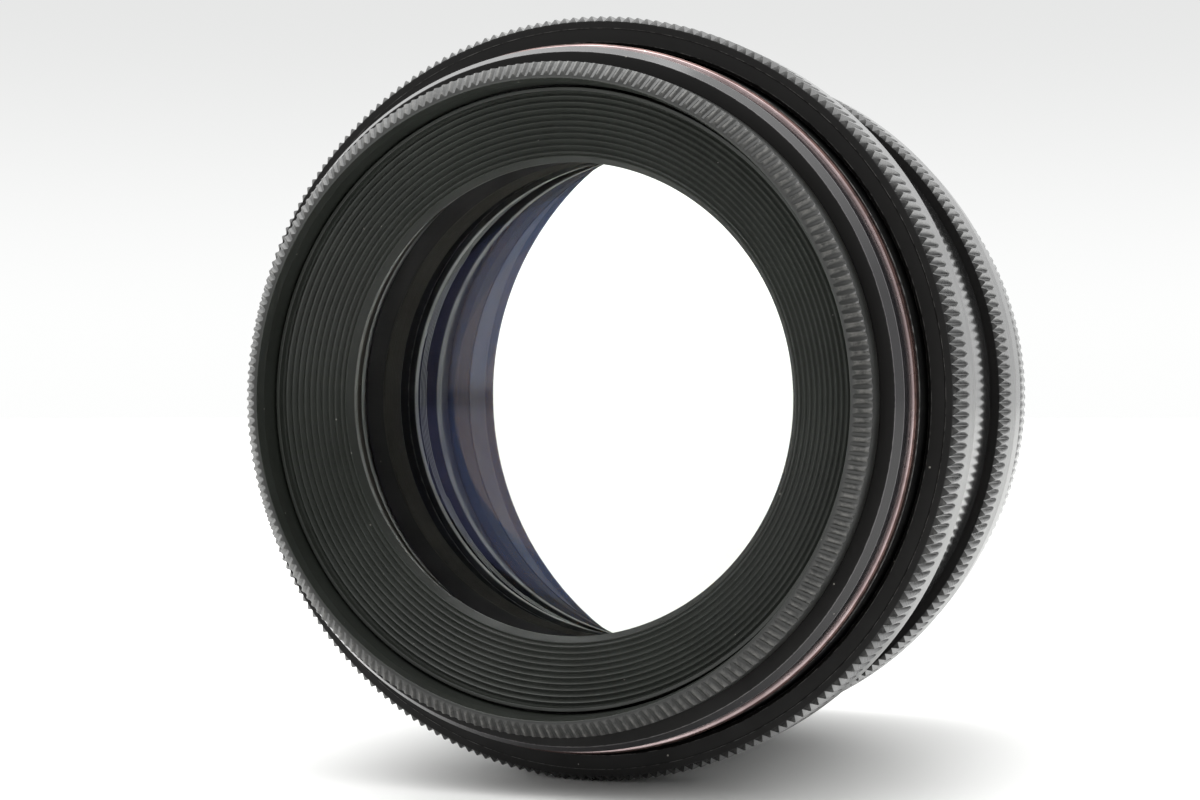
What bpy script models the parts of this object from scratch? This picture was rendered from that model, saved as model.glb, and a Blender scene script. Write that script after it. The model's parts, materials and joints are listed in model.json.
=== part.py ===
"""Enlarger lens: a six-element barrel lens with a knurled aperture ring and a twelve-blade iris.

Every station is a pair (radius, depth) in millimetres. Depth is counted from the front rim back
along the optical axis, and the whole lens lies on its side with its front towards -Y.
"""
import math

import bmesh
import bpy
from mathutils import Matrix

MM = 0.001

# Driving dimensions
LENGTH = 70.6            # front rim to the end of the rear cell
GRIP_CREST = 39.0        # over the knurl of the aperture ring
GAP = 0.3                # running and seating clearance between pieces
BARREL_R = 35.66         # outside of the main barrel
MECHANISM_R = 34.1       # outside of the iris plates
KNURL_TEETH = 120        # on each grip
KNURL_DEPTH = 0.5
FINE_TEETH = 76          # on the bezel and the flange
FINE_TOOTH_DEPTH = 0.4
REAR_MOUTH_R = 28.2      # bore of the rear cell behind the glass
STOP_DEPTH = 36.0        # plane that the two halves of the optics mirror about

# Glass: vertex depth and radius of curvature, positive with its centre to the rear
CROWN_FRONT = (5.3, 57.0)
CEMENT_FRONT = (14.3, -260.0)
FLINT_REAR = (17.8, 66.0)
MENISCUS_FRONT = (22.3, 66.0)
MENISCUS_REAR = (28.3, 130.0)
DOUBLET_R = 25.0
FLINT_CLEAR_R = 22.9
MENISCUS_R = 23.6

# Iris
BLADES = 12
BLADE_INNER = 22.6
BLADE_OUTER = 29.4
BLADE_THICKNESS = 0.2
BLADE_PITCH = 0.42       # from one blade's layer to the next
BLADE_FRONT = 33.1       # depth of the first blade's front face
PIVOT_R = 31.4           # circle of the blades' fixed pivots
DRIVE_ARM = 4.0          # from a blade's pivot to its drive pin
SMALLEST_STOP_R = 3.2
RING_PER_BLADE = 1.25    # turn of the aperture ring for one degree of a blade
BLADE_TURN = 2.0 * math.asin((BLADE_INNER - SMALLEST_STOP_R) / (2.0 * PIVOT_R))
RING_TURN = BLADE_TURN * RING_PER_BLADE
BLADE_SWEEP = math.radians(134.0)
PIVOT_PIN_R = 0.5
PIVOT_PIN_END = 39.2     # depth, inside the base plate
DRIVE_PIN_R = 0.4
DRIVE_PIN_END = 31.9     # depth, inside the cam ring
SLOT_HALF_WIDTH = 0.55

# Drive screws, detent and spring, as angles from +X about the lens's axis
SCREW_ANGLES = (math.radians(112.0), math.radians(292.0))
SCREW_DEPTH = 29.8
SCREW_R = 0.8
SCREW_HOLE_R = 1.1
DETENT_ANGLE = math.radians(238.0)
DETENT_DEPTH = 25.0
DETENT_STOPS = 8
BALL_R = 0.8
BALL_ORBIT = 35.05
SPRING_FIX_ANGLE = math.radians(212.0)

FINE = 72
PLAIN = 40
LENS_STEPS = 28
SMALL = 10
TWIST = math.radians(4.0)    # keeps the corners of small round bars off the rings' own edges


def clear_scene():
    for old in list(bpy.data.objects):
        bpy.data.objects.remove(old, do_unlink=True)


def new_collection(name):
    collection = bpy.data.collections.new(name)
    bpy.context.scene.collection.children.link(collection)
    return collection


clear_scene()
PARTS = new_collection("enlarger_lens")
CUTTERS = new_collection("cutters")

AXIS = bpy.data.objects.new("optical_axis", None)
AXIS.location = (0.0, -LENGTH / 2.0 * MM, 0.0)
AXIS.rotation_euler = (math.pi / 2.0, 0.0, 0.0)
PARTS.objects.link(AXIS)


def make_material(name, colour, roughness, metallic, alpha=1.0):
    material = bpy.data.materials.new(name)
    material.use_nodes = True
    shader = material.node_tree.nodes["Principled BSDF"]
    shader.inputs["Base Color"].default_value = (*colour, 1.0)
    shader.inputs["Roughness"].default_value = roughness
    shader.inputs["Metallic"].default_value = metallic
    shader.inputs["Alpha"].default_value = alpha
    return material


KNURL_GREY = make_material("knurl_grey", (0.10, 0.10, 0.10), 0.35, 0.6)
MATT_BLACK = make_material("matt_black", (0.014, 0.014, 0.014), 0.6, 0.2)
SATIN_GREY = make_material("satin_grey", (0.07, 0.07, 0.07), 0.3, 0.7)
FADED_COPPER = make_material("faded_copper", (0.36, 0.20, 0.18), 0.3, 0.8)
BAFFLE_GREY = make_material("baffle_grey", (0.028, 0.030, 0.028), 0.5, 0.2)
BLADE_STEEL = make_material("blade_steel", (0.05, 0.05, 0.055), 0.4, 0.8)
BRASS = make_material("brass", (0.55, 0.42, 0.18), 0.35, 1.0)
STEEL = make_material("steel", (0.42, 0.42, 0.43), 0.3, 1.0)
COATED_GLASS = make_material("coated_glass", (0.85, 0.88, 0.95), 0.03, 0.0, 0.35)


def link_part(obj, material):
    """Give a finished sub-part its material and hang it on the optical axis."""
    obj.data.materials.clear()
    obj.data.materials.append(material)
    for owner in list(obj.users_collection):
        owner.objects.unlink(obj)
    PARTS.objects.link(obj)
    obj.parent = AXIS
    return obj


def link_cutter(obj):
    for owner in list(obj.users_collection):
        owner.objects.unlink(obj)
    CUTTERS.objects.link(obj)
    obj.parent = AXIS
    obj.hide_render = True
    obj.display_type = "WIRE"
    return obj


def turned(name, outline, steps=PLAIN, closed=True):
    """Spin an outline of (radius, depth) about the axis.

    The outline runs down the outer side from front to rear. A closed one comes back up the bore,
    and an open one starts and ends on the axis.
    """
    mesh = bpy.data.meshes.new(name)
    points = [(radius * MM, 0.0, -depth * MM) for radius, depth in outline]
    edges = [(i, i + 1) for i in range(len(points) - 1)]
    if closed:
        edges.append((len(points) - 1, 0))
    mesh.from_pydata(points, edges, [])
    obj = bpy.data.objects.new(name, mesh)
    PARTS.objects.link(obj)
    screw = obj.modifiers.new("turn", "SCREW")
    screw.angle = 2.0 * math.pi
    screw.steps = steps
    screw.render_steps = steps
    screw.use_merge_vertices = True
    screw.merge_threshold = 0.000005
    screw.use_smooth_shade = True
    return obj


def plug(name, radius, front, rear, steps=PLAIN):
    """A solid round bar along the axis."""
    return turned(name, [(0.0, front), (radius, front), (radius, rear), (0.0, rear)], steps, closed=False)


def toothed_disc(name, teeth, front, rear):
    """A solid disc with V teeth on its rim; front and rear are (crest, root, depth)."""
    shape = bmesh.new()
    middle = (front[2] + rear[2]) / 2.0
    bmesh.ops.create_cone(
        shape,
        cap_ends=True,
        segments=2 * teeth,
        radius1=rear[0] * MM,
        radius2=front[0] * MM,
        depth=(rear[2] - front[2]) * MM,
        matrix=Matrix.Translation((0.0, 0.0, -middle * MM)),
    )
    for vertex in shape.verts:
        station = front if vertex.co.z > -middle * MM else rear
        angle = math.atan2(vertex.co.y, vertex.co.x)
        tooth = round(angle / (math.pi / teeth)) % 2
        radius = station[tooth] * MM
        vertex.co.x = radius * math.cos(angle)
        vertex.co.y = radius * math.sin(angle)
    mesh = bpy.data.meshes.new(name)
    shape.to_mesh(mesh)
    shape.free()
    obj = bpy.data.objects.new(name, mesh)
    PARTS.objects.link(obj)
    return obj


def radial_pin(name, radius, inner, outer, angle, depth, steps=SMALL):
    """A round bar that points away from the axis."""
    bpy.ops.mesh.primitive_cylinder_add(vertices=steps, radius=radius * MM, depth=(outer - inner) * MM)
    obj = bpy.context.object
    obj.name = name
    middle = (inner + outer) / 2.0 * MM
    obj.location = (middle * math.cos(angle), middle * math.sin(angle), -depth * MM)
    obj.rotation_euler = (0.0, math.pi / 2.0, angle)
    return obj


def axial_pin(name, radius, front, rear, x, y, steps=SMALL):
    """A round bar that lies along the axis, at (x, y) beside it."""
    bpy.ops.mesh.primitive_cylinder_add(vertices=steps, radius=radius * MM, depth=(rear - front) * MM)
    obj = bpy.context.object
    obj.name = name
    obj.location = (x * MM, y * MM, -(front + rear) / 2.0 * MM)
    obj.rotation_euler = (0.0, 0.0, TWIST)
    return obj


def flat_plate(name, outline, front, rear):
    """A flat outline of (x, y) made into a plate between two depths."""
    curve = bpy.data.curves.new(name, "CURVE")
    curve.dimensions = "2D"
    curve.fill_mode = "BOTH"
    curve.extrude = (rear - front) / 2.0 * MM
    spline = curve.splines.new("POLY")
    spline.points.add(len(outline) - 1)
    for point, (x, y) in zip(spline.points, outline):
        point.co = (x * MM, y * MM, 0.0, 1.0)
    spline.use_cyclic_u = True
    drawn = bpy.data.objects.new(name + "_curve", curve)
    PARTS.objects.link(drawn)
    evaluated = drawn.evaluated_get(bpy.context.evaluated_depsgraph_get())
    mesh = bpy.data.meshes.new_from_object(evaluated)
    bpy.data.objects.remove(drawn, do_unlink=True)
    shape = bmesh.new()
    shape.from_mesh(mesh)
    bmesh.ops.remove_doubles(shape, verts=shape.verts, dist=0.000001)
    bmesh.ops.recalc_face_normals(shape, faces=shape.faces)
    shape.to_mesh(mesh)
    shape.free()
    obj = bpy.data.objects.new(name, mesh)
    PARTS.objects.link(obj)
    obj.location = (0.0, 0.0, -(front + rear) / 2.0 * MM)
    return obj


def combine(obj, other, operation):
    """Join, cut or intersect with another object, which becomes a hidden cutter."""
    link_cutter(other)
    step = obj.modifiers.new(other.name, "BOOLEAN")
    step.operation = operation
    step.object = other
    return obj


def arc(cx, cy, radius, start, end, steps):
    """Points on a circular arc from one angle to another, both in radians."""
    turns = [start + (end - start) * i / steps for i in range(steps + 1)]
    return [(cx + radius * math.cos(turn), cy + radius * math.sin(turn)) for turn in turns]


def surface(vertex, curvature_radius, rim, steps=3):
    """A polished surface from the axis out to its rim, as (radius, depth)."""
    points = []
    for i in range(steps + 1):
        radius = rim * i / steps
        sag = abs(curvature_radius) - math.sqrt(curvature_radius ** 2 - radius ** 2)
        points.append((radius, vertex + math.copysign(sag, curvature_radius)))
    return points


def mirrored(outline):
    """The same outline on the other side of the stop, again from front to rear."""
    return [(radius, 2.0 * STOP_DEPTH - depth) for radius, depth in reversed(outline)]


# Outer shell

def front_bezel():
    """Front ring with a V-cut chamfer and a plain land behind it."""
    ring = turned(
        "front_bezel",
        [(31.95, 0.0), (33.07, 1.1), (33.07, 4.2), (31.1, 4.2), (31.1, 1.2), (31.3, 0.0)],
        FINE,
    )
    star = toothed_disc("bezel_star", FINE_TEETH, (31.6, 30.6, -1.0), (37.7, 36.7, 5.0))
    link_part(combine(ring, star, "INTERSECT"), KNURL_GREY)


def ribbed_baffle():
    """Funnel-shaped light baffle with ten turned ridges, ending in the front bore."""
    ridges = 10
    inner_ridge, outer_ridge = (24.7, 5.95), (30.0, 3.95)
    ridge_height = 0.3
    half_step = (
        (outer_ridge[0] - inner_ridge[0]) / (ridges - 1) / 2.0,
        (outer_ridge[1] - inner_ridge[1]) / (ridges - 1) / 2.0,
    )
    outline = [(30.8, 3.2), (30.8, 9.0), (24.4, 9.0), (23.75, 7.1), (24.4, 6.3)]
    for i in range(ridges):
        radius = inner_ridge[0] + half_step[0] * 2.0 * i
        depth = inner_ridge[1] + half_step[1] * 2.0 * i
        outline.append((radius, depth))
        outline.append((radius + half_step[0], depth + half_step[1] + ridge_height))
    outline.append((30.45, 3.2))
    link_part(turned("ribbed_baffle", outline, 36), BAFFLE_GREY)


def front_cell_housing():
    """Turned mount for the front glass, with a flange that shows as a polished step."""
    outline = [
        (34.45, 4.5), (35.08, 5.5), (35.25, 7.3), (32.9, 7.3), (32.9, 9.2), (MECHANISM_R, 9.2), (MECHANISM_R, 13.5),
        (27.6, 13.5), (27.6, 31.2), (25.6, 31.2), (25.6, 27.3), (23.9, 27.3), (23.9, 26.0),
        (23.0, 26.0), (23.0, 22.4), (25.3, 22.4), (25.3, 9.3), (31.1, 9.3), (31.1, 4.5),
    ]
    link_part(turned("front_cell_housing", outline), SATIN_GREY)


def trim_ring():
    outline = [(35.45, 7.6), (BARREL_R, 7.8), (BARREL_R, 8.9), (33.2, 8.9), (33.2, 7.6)]
    link_part(turned("copper_trim_ring", outline, FINE), FADED_COPPER)


def aperture_ring():
    """Knurled grip and plain scale sleeve, turning on the main barrel."""
    root = GRIP_CREST - KNURL_DEPTH
    ring = toothed_disc("aperture_ring", KNURL_TEETH, (GRIP_CREST, root, 11.2), (GRIP_CREST, root, 18.85))
    combine(ring, plug("aperture_sleeve", 36.6, 11.3, 37.5, FINE), "UNION")
    combine(ring, plug("aperture_bore", BARREL_R + GAP, 10.0, 38.0, FINE), "DIFFERENCE")
    for i, angle in enumerate(SCREW_ANGLES):
        hole = radial_pin(f"ring_screw_hole_{i + 1}", SCREW_HOLE_R, 35.0, 38.0, angle, SCREW_DEPTH)
        combine(ring, hole, "DIFFERENCE")
    for i in range(DETENT_STOPS):
        angle = DETENT_ANGLE - RING_TURN * i / (DETENT_STOPS - 1)
        x, y = 35.3 * math.cos(angle), 35.3 * math.sin(angle)
        notch = axial_pin(f"detent_notch_{i + 1}", 0.95, DETENT_DEPTH - 1.3, DETENT_DEPTH + 1.3, x, y)
        combine(ring, notch, "DIFFERENCE")
    link_part(ring, KNURL_GREY)


def main_barrel():
    """The fixed body: it carries the iris, both cells, the grip ring and the mounting thread."""
    outline = [
        (BARREL_R, 9.2), (BARREL_R, 42.0), (33.0, 42.0), (33.0, 58.1), (31.0, 58.1), (31.0, 66.0),
        (28.6, 66.0), (28.6, 39.75), (34.4, 39.75), (34.4, 9.2),
    ]
    barrel = turned("main_barrel", outline)
    margin = math.asin((SCREW_R + GAP) / BARREL_R)
    for i, angle in enumerate(SCREW_ANGLES):
        start, end = angle - margin, angle + RING_TURN + margin
        outline = arc(0.0, 0.0, 36.4, start, end, 8) + arc(0.0, 0.0, 33.8, end, start, 8)
        half = SCREW_R + GAP
        slot = flat_plate(f"barrel_slot_{i + 1}", outline, SCREW_DEPTH - half, SCREW_DEPTH + half)
        combine(barrel, slot, "DIFFERENCE")
    ball_hole = radial_pin("ball_hole", 1.1, 33.5, 36.5, DETENT_ANGLE, DETENT_DEPTH)
    combine(barrel, ball_hole, "DIFFERENCE")
    screw_hole = radial_pin("spring_screw_hole", 1.0, 33.5, 36.5, SPRING_FIX_ANGLE, DETENT_DEPTH)
    combine(barrel, screw_hole, "DIFFERENCE")
    link_part(barrel, MATT_BLACK)


def mount_grip_ring():
    """Second knurled ring, fixed to the barrel, for screwing the lens in and out."""
    crest = 37.95
    root = crest - KNURL_DEPTH
    ring = toothed_disc("mount_grip_ring", KNURL_TEETH, (crest, root, 37.9), (crest, root, 44.9))
    combine(ring, plug("grip_land", 37.35, 43.0, 50.0, FINE), "UNION")
    combine(ring, plug("grip_sleeve", 35.4, 43.0, 58.1, FINE), "UNION")
    wide, narrow = BARREL_R + GAP, 33.3
    bore = [(0.0, 36.0), (wide, 36.0), (wide, 42.3), (narrow, 42.3), (narrow, 60.0), (0.0, 60.0)]
    combine(ring, turned("grip_bore", bore, PLAIN, closed=False), "DIFFERENCE")
    link_part(ring, KNURL_GREY)


def rear_flange_ring():
    """Thin knurled flange whose rear face sits on the lens board."""
    crest = 35.8
    root = crest - FINE_TOOTH_DEPTH
    ring = toothed_disc("rear_flange_ring", FINE_TEETH, (crest, root, 58.4), (crest, root, 61.2))
    combine(ring, plug("flange_bore", 31.3, 57.0, 63.0), "DIFFERENCE")
    link_part(ring, KNURL_GREY)


def rear_cell_housing():
    outline = [
        (28.3, 40.8), (28.3, 66.3), (29.8, 66.3), (29.8, 70.0), (29.4, LENGTH),
        (REAR_MOUTH_R, LENGTH), (REAR_MOUTH_R, 67.4), (27.0, 66.2), (27.0, 62.9), (25.3, 62.9),
        (25.3, 49.6), (23.0, 49.6), (23.0, 46.0), (23.9, 46.0), (23.9, 44.7), (25.6, 44.7), (25.6, 40.8),
    ]
    link_part(turned("rear_cell_housing", outline), MATT_BLACK)


def rear_retaining_ring():
    """Threaded ring that holds the rear doublet, with two spanner slots."""
    outline = [
        (26.7, 63.2), (26.7, 66.3), (27.9, 67.5), (27.9, 69.6), (27.0, 69.6), (24.7, 63.2),
    ]
    ring = turned("rear_retaining_ring", outline)
    for i, side in enumerate((-1.0, 1.0)):
        bpy.ops.mesh.primitive_cube_add(size=1.0)
        slot = bpy.context.object
        slot.name = f"spanner_slot_{i + 1}"
        slot.scale = (1.6 * MM, 6.0 * MM, 1.6 * MM)
        slot.location = (0.0, side * 27.4 * MM, -69.6 * MM)
        combine(ring, slot, "DIFFERENCE")
    link_part(ring, SATIN_GREY)


# Optics

def glass_elements():
    """A cemented doublet and a meniscus on each side of the stop."""
    crown = surface(*CROWN_FRONT, DOUBLET_R) + surface(*CEMENT_FRONT, DOUBLET_R)[::-1]
    cement_vertex = CEMENT_FRONT[0] + GAP
    flint = surface(cement_vertex, CEMENT_FRONT[1], DOUBLET_R)
    rim_depth = surface(*FLINT_REAR, FLINT_CLEAR_R)[-1][1]
    flint += [(DOUBLET_R, rim_depth)] + surface(*FLINT_REAR, FLINT_CLEAR_R)[::-1]
    meniscus = surface(*MENISCUS_FRONT, MENISCUS_R) + surface(*MENISCUS_REAR, MENISCUS_R)[::-1]
    for name, outline in (("crown", crown), ("flint", flint), ("meniscus", meniscus)):
        front = turned(f"front_{name}_element", outline, LENS_STEPS, closed=False)
        link_part(front, COATED_GLASS)
        rear = turned(f"rear_{name}_element", mirrored(outline), 32, closed=False)
        link_part(rear, COATED_GLASS)


def meniscus_retainers():
    """L-section rings that hold the two inner elements against their seats."""
    outline = [(25.3, 27.6), (25.3, 31.25), (22.9, 31.25), (22.9, 30.95), (23.9, 30.95), (23.9, 27.6)]
    link_part(turned("front_meniscus_retainer", outline, 32), SATIN_GREY)
    link_part(turned("rear_meniscus_retainer", mirrored(outline), 32), SATIN_GREY)


# Iris

def drive_pin_at(turn):
    """Where a blade's drive pin is, in the blade's station, when the blade has turned this far."""
    direction = -math.pi / 2.0 - BLADE_TURN / 2.0 + turn
    return PIVOT_R + DRIVE_ARM * math.cos(direction), DRIVE_ARM * math.sin(direction)


def blade_outline():
    """A crescent with an ear for the pivot and the drive pin, seen in the lens's own frame."""
    pin_x, pin_y = drive_pin_at(0.0)
    tip_r = (BLADE_OUTER - BLADE_INNER) / 2.0
    middle = (BLADE_OUTER + BLADE_INNER) / 2.0
    tip_x, tip_y = middle * math.cos(BLADE_SWEEP), middle * math.sin(BLADE_SWEEP)
    points = arc(0.0, 0.0, BLADE_OUTER, BLADE_SWEEP, math.radians(5.0), 11)
    points += arc(PIVOT_R, 0.0, 1.4, math.radians(100.0), math.radians(-40.0), 3)
    points += arc(pin_x, pin_y, 1.1, math.radians(10.0), math.radians(-120.0), 3)
    points += arc(0.0, 0.0, BLADE_INNER, math.radians(-6.0), BLADE_SWEEP, 11)
    points += arc(tip_x, tip_y, tip_r, BLADE_SWEEP + math.pi, BLADE_SWEEP, 3)[1:-1]
    return points


def iris_blade(number):
    """One blade on its own layer, with its origin on its pivot."""
    front = BLADE_FRONT + BLADE_PITCH * number
    rear = front + BLADE_THICKNESS
    outline = [(x - PIVOT_R, y) for x, y in blade_outline()]
    pin_x, pin_y = drive_pin_at(0.0)
    blade = flat_plate(f"iris_blade_{number + 1:02d}", outline, front, rear)
    middle = (front + rear) / 2.0
    pivot = axial_pin(f"pivot_pin_{number + 1:02d}", PIVOT_PIN_R, middle, PIVOT_PIN_END, 0.0, 0.0, 8)
    drive = axial_pin(
        f"drive_pin_{number + 1:02d}", DRIVE_PIN_R, DRIVE_PIN_END, middle, pin_x - PIVOT_R, pin_y, 8
    )
    station = bpy.data.objects.new(f"blade_station_{number + 1:02d}", None)
    angle = 2.0 * math.pi * number / BLADES
    station.location = (PIVOT_R * MM * math.cos(angle), PIVOT_R * MM * math.sin(angle), 0.0)
    station.rotation_euler = (0.0, 0.0, angle)
    station.parent = AXIS
    PARTS.objects.link(station)
    for pin in (pivot, drive):
        combine(blade, pin, "UNION")
        pin.parent = station
    link_part(blade, BLADE_STEEL)
    blade.parent = station


def slot_outline():
    """The path of a drive pin as the cam ring sees it, widened to a slot with round ends."""
    steps = 6
    path = []
    for i in range(steps + 1):
        turn = BLADE_TURN * (-0.02 + 1.04 * i / steps)
        x, y = drive_pin_at(turn)
        back = -turn * RING_PER_BLADE
        path.append((x * math.cos(back) - y * math.sin(back), x * math.sin(back) + y * math.cos(back)))
    left, right = [], []
    for i, (x, y) in enumerate(path):
        x0, y0 = path[max(i - 1, 0)]
        x1, y1 = path[min(i + 1, steps)]
        length = math.hypot(x1 - x0, y1 - y0)
        across_x, across_y = -(y1 - y0) / length * SLOT_HALF_WIDTH, (x1 - x0) / length * SLOT_HALF_WIDTH
        left.append((x + across_x, y + across_y))
        right.append((x - across_x, y - across_y))
    heading = math.atan2(path[-1][1] - path[-2][1], path[-1][0] - path[-2][0])
    tail = math.atan2(path[1][1] - path[0][1], path[1][0] - path[0][0])
    end_cap = arc(*path[-1], SLOT_HALF_WIDTH, heading + math.pi / 2.0, heading - math.pi / 2.0, 4)[1:-1]
    start_cap = arc(*path[0], SLOT_HALF_WIDTH, tail - math.pi / 2.0, tail - 1.5 * math.pi, 4)[1:-1]
    return left + end_cap + right[::-1] + start_cap


def iris_cam_ring():
    """Plate with one cam slot for each blade, and a skirt that the drive screws hold."""
    outline = [
        (MECHANISM_R, 27.8), (MECHANISM_R, 32.8), (22.4, 32.8), (22.4, 31.6), (32.6, 31.6), (32.6, 27.8),
    ]
    ring = turned("iris_cam_ring", outline)
    for i in range(BLADES):
        slot = flat_plate(f"cam_slot_{i + 1:02d}", slot_outline(), 31.3, 33.3)
        combine(ring, slot, "DIFFERENCE")
        slot.rotation_euler = (0.0, 0.0, 2.0 * math.pi * i / BLADES)
    for i, angle in enumerate(SCREW_ANGLES):
        hole = radial_pin(f"cam_screw_hole_{i + 1}", SCREW_HOLE_R, 31.5, 35.0, angle, SCREW_DEPTH)
        combine(ring, hole, "DIFFERENCE")
    link_part(ring, BRASS)


def iris_base_plate():
    """Fixed rear plate with the blades' pivot holes."""
    outline = [(MECHANISM_R, 38.25), (MECHANISM_R, 39.45), (22.4, 39.45), (22.4, 38.25)]
    plate = turned("iris_base_plate", outline)
    for i in range(BLADES):
        angle = 2.0 * math.pi * i / BLADES
        x, y = PIVOT_R * math.cos(angle), PIVOT_R * math.sin(angle)
        hole = axial_pin(f"pivot_hole_{i + 1:02d}", PIVOT_PIN_R + GAP, 37.5, 40.2, x, y, 8)
        combine(plate, hole, "DIFFERENCE")
    link_part(plate, SATIN_GREY)


def drive_screws():
    """Set screws that tie the aperture ring to the cam ring through the barrel's slots."""
    for i, angle in enumerate(SCREW_ANGLES):
        link_part(radial_pin(f"iris_drive_screw_{i + 1}", SCREW_R, 32.9, 36.4, angle, SCREW_DEPTH), STEEL)


def click_stop():
    """Ball, leaf spring and screw that make the aperture ring click at each stop."""
    bpy.ops.mesh.primitive_uv_sphere_add(segments=16, ring_count=8, radius=BALL_R * MM)
    ball = bpy.context.object
    ball.name = "click_ball"
    x, y = BALL_ORBIT * math.cos(DETENT_ANGLE), BALL_ORBIT * math.sin(DETENT_ANGLE)
    ball.location = (x * MM, y * MM, -DETENT_DEPTH * MM)
    link_part(ball, STEEL)
    start, end = SPRING_FIX_ANGLE - math.radians(4.0), DETENT_ANGLE + math.radians(4.0)
    outline = arc(0.0, 0.0, 33.9, start, end, 10) + arc(0.0, 0.0, 33.5, end, start, 10)
    spring = flat_plate("click_spring", outline, DETENT_DEPTH - 1.5, DETENT_DEPTH + 1.5)
    hole = radial_pin("spring_hole", 1.0, 33.0, 34.4, SPRING_FIX_ANGLE, DETENT_DEPTH)
    combine(spring, hole, "DIFFERENCE")
    link_part(spring, BRASS)
    screw = radial_pin("spring_screw", 0.7, 32.7, 35.3, SPRING_FIX_ANGLE, DETENT_DEPTH)
    head = radial_pin("spring_screw_head", 1.3, 32.2, 33.2, SPRING_FIX_ANGLE, DETENT_DEPTH)
    combine(screw, head, "UNION")
    link_part(screw, STEEL)


front_bezel()
ribbed_baffle()
front_cell_housing()
trim_ring()
aperture_ring()
main_barrel()
mount_grip_ring()
rear_flange_ring()
rear_cell_housing()
rear_retaining_ring()
glass_elements()
meniscus_retainers()
iris_cam_ring()
iris_base_plate()
for blade_number in range(BLADES):
    iris_blade(blade_number)
drive_screws()
click_stop()
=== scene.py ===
import json
import math

import bmesh
import bpy
import numpy as np
from mathutils import Matrix, Vector

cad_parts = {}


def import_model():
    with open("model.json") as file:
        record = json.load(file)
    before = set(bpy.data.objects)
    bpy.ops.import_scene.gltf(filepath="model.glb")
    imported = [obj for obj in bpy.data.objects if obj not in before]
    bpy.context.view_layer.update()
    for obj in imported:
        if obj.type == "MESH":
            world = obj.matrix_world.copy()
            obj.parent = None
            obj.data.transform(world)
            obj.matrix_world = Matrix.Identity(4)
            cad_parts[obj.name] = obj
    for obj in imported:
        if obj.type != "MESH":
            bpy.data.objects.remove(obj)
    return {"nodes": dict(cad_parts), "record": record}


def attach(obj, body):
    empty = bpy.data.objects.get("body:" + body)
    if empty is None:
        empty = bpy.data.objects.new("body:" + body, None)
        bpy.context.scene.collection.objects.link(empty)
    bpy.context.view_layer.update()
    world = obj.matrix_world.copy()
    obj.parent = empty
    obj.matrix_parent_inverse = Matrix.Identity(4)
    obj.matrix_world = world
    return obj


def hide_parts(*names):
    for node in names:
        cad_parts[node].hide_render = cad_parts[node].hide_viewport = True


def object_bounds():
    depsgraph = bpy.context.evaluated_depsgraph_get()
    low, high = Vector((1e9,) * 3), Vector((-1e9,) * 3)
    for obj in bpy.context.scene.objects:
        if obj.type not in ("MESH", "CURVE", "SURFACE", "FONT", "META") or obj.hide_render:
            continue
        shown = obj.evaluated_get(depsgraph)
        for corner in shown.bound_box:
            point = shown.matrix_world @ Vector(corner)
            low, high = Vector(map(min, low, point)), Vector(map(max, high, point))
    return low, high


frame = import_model()
cad_low, cad_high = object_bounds()

MM = 0.001
FRONT = round(float(cad_low[1]), 6)  # world Y of the front rim

# Sizes are in mm. A depth is measured back from the front rim, and a radius from the optical axis.
# An outline is a list of (radius, depth) points, and a third number is the easing of that corner.

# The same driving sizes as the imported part
BARREL_R = 35.66
STOP_DEPTH = 36.0                   # the rear glass is the front glass mirrored about this plane
BLADES = 12
BLADE_INNER = 22.6
BLADE_OUTER = 29.4
BLADE_THICKNESS = 0.2
BLADE_PITCH = 0.42                  # each blade lies this much behind the one before it
BLADE_FRONT = 33.1
PIVOT_R = 31.4
PIVOT_PIN_R = 0.5
PIVOT_HOLE_R = 0.8
DRIVE_ARM = 4.0
DRIVE_PIN_R = 0.4
SLOT_HALF_WIDTH = 0.55
SMALLEST_STOP_R = 3.2
RING_PER_BLADE = 1.25
BLADE_TURN = 2.0 * math.asin((BLADE_INNER - SMALLEST_STOP_R) / (2.0 * PIVOT_R))
RING_TURN = BLADE_TURN * RING_PER_BLADE
BLADE_SWEEP = math.radians(134.0)
SCREW_ANGLES = (math.radians(112.0), math.radians(292.0))
SCREW_DEPTH = 29.8
SCREW_R = 0.8
SCREW_HOLE_R = 1.1
SCREW_GAP = 0.3
DETENT_ANGLE = math.radians(238.0)
SPRING_FIX_ANGLE = math.radians(212.0)
DETENT_DEPTH = 25.0
DETENT_HOLE_R = 1.1
SPRING_HOLE_R = 1.0

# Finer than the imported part, which has fewer teeth
GRIP_TEETH = 244
MOUNT_TEETH = 243
BEZEL_TEETH = 228
FLANGE_TEETH = 228
TOOTH_CREST = 0.14                  # the crest's share of the tooth pitch, at full depth
TOOTH_ROOT = 0.08                   # the root's share
ROUND = 256                         # segments round a metal ring
GLASS_ROUND = 128
SHARP = 32.0                        # an edge that turns by more degrees than this is not smoothed
FILLET_STEPS = 3
HOLD = 0.03                         # a flat is held flat by a point this far beside its fillet
BEVEL_R = 35.46                     # where the bright bevel of the copper ring starts to fade
BEVEL_FADE = 0.08

# Material slots of the two knurled rings
GRIP_SLOT, FACE_SLOT, SLEEVE_SLOT, END_SLOT = range(4)


# ---------------------------------------------------------------- meshes

def body_of(node):
    """The name of the body that a CAD node belongs to."""
    for name, nodes in frame["record"]["behaviour"]["bodies"].items():
        if node in nodes:
            return name
    raise ValueError(node)


def smooth_below(mesh, sharp):
    """Shade a mesh smooth, apart from the edges that turn by more than this many degrees."""
    mesh.polygons.foreach_set("use_smooth", [True] * len(mesh.polygons))
    mesh.set_sharp_from_angle(angle=math.radians(sharp))


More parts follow.
